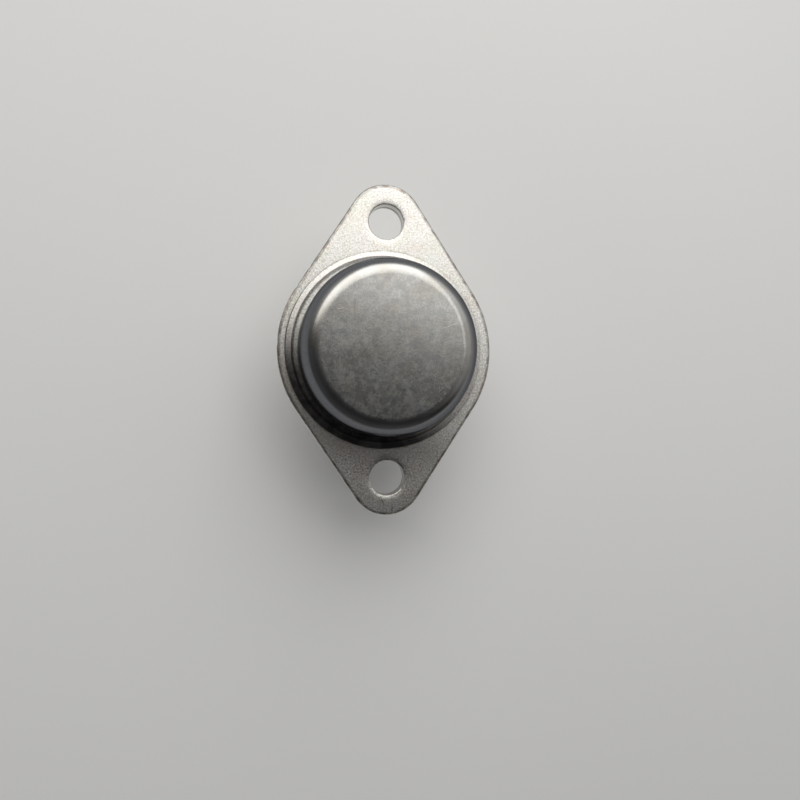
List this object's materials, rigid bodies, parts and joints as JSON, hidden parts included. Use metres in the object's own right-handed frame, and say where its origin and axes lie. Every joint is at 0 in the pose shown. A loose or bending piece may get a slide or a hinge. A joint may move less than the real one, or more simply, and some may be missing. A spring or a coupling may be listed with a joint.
{
  "type": "power transistor",
  "caption": "Power transistor in a round metal can on a diamond-shaped flange, with glass-sealed leads below and screw holes at the flange's ends.",
  "frame": {"origin": "centre of the flange's underside, midway between the mounting holes, on the seating plane", "axes": "+Z up through the can, away from the leads; the mounting holes lie along Y, with the leads' line off towards +Y; +X to the right seen from above with +Y up"},
  "size_m": [0.0254, 0.039, 0.0193],
  "materials": {
    "flange_nickel": "matte nickel plate on steel, fine-grained, with faint olive and pink stains",
    "cap_nickel": "smooth semi-bright nickel plate on drawn steel, mottled by handling",
    "lead_metal": "plated nickel-iron wire, satin",
    "seal_glass": "dark grey-green sealing glass, glossy",
    "spreader_copper": "copper, satin",
    "braze_metal": "braze alloy, satin",
    "solder_metal": "solder, satin grey",
    "chip_silicon": "polished silicon, dark grey",
    "clip_metal": "tinned strip, satin"
  },
  "bodies": {
    "root": {"base_plate": "flange_nickel", "cap": "cap_nickel", "emitter_glass_seal": "seal_glass", "base_glass_seal": "seal_glass", "emitter_lead": "lead_metal", "base_lead": "lead_metal", "spreader_braze": "braze_metal", "heat_spreader": "spreader_copper", "chip_solder": "solder_metal", "silicon_chip": "chip_silicon", "emitter_contact": "solder_metal", "base_contact": "solder_metal", "emitter_clip": "clip_metal", "base_clip": "clip_metal", "emitter_lead_solder": "solder_metal", "base_lead_solder": "solder_metal"}
  },
  "joints": []
}
